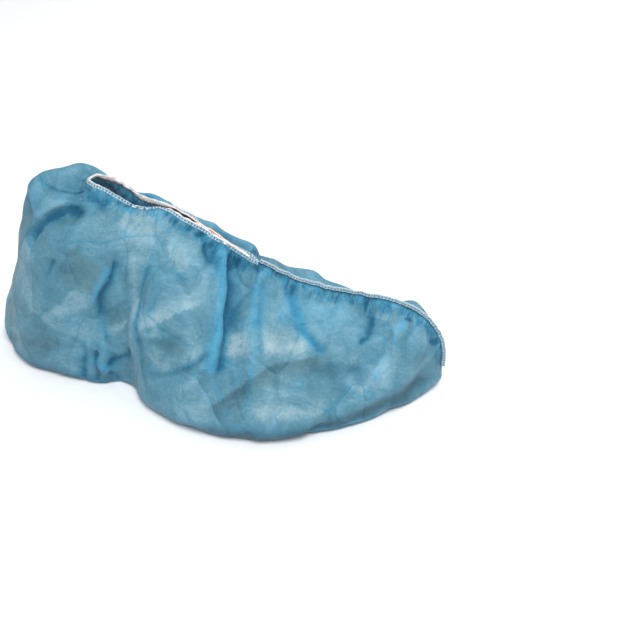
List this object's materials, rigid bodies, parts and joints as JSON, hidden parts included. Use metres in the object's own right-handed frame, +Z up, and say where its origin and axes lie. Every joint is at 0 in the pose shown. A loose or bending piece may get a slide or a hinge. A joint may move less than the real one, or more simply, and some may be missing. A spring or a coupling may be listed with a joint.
{
  "type": "shoe cover",
  "caption": "Disposable overshoe cover of thin non-woven fabric in its worn shape, with an elastic opening over the instep and a raised bound seam over the toes.",
  "frame": {"origin": "on the floor, under the middle of the cover's bounding box", "axes": "+X from the heel to the toe, +Y to the inner side of a right foot, +Z up"},
  "size_m": [0.3144, 0.1326, 0.1319],
  "materials": {
    "nonwoven": "thin spunbond polypropylene, matt with a faint sheen, slightly see-through",
    "elastic": "pale flat latex elastic, matt",
    "thread": "white polyester overlock thread"
  },
  "bodies": {
    "root": {"cover_shell": "nonwoven", "opening_elastic": "elastic", "opening_edging": "thread", "toe_seam": "thread"}
  },
  "joints": []
}
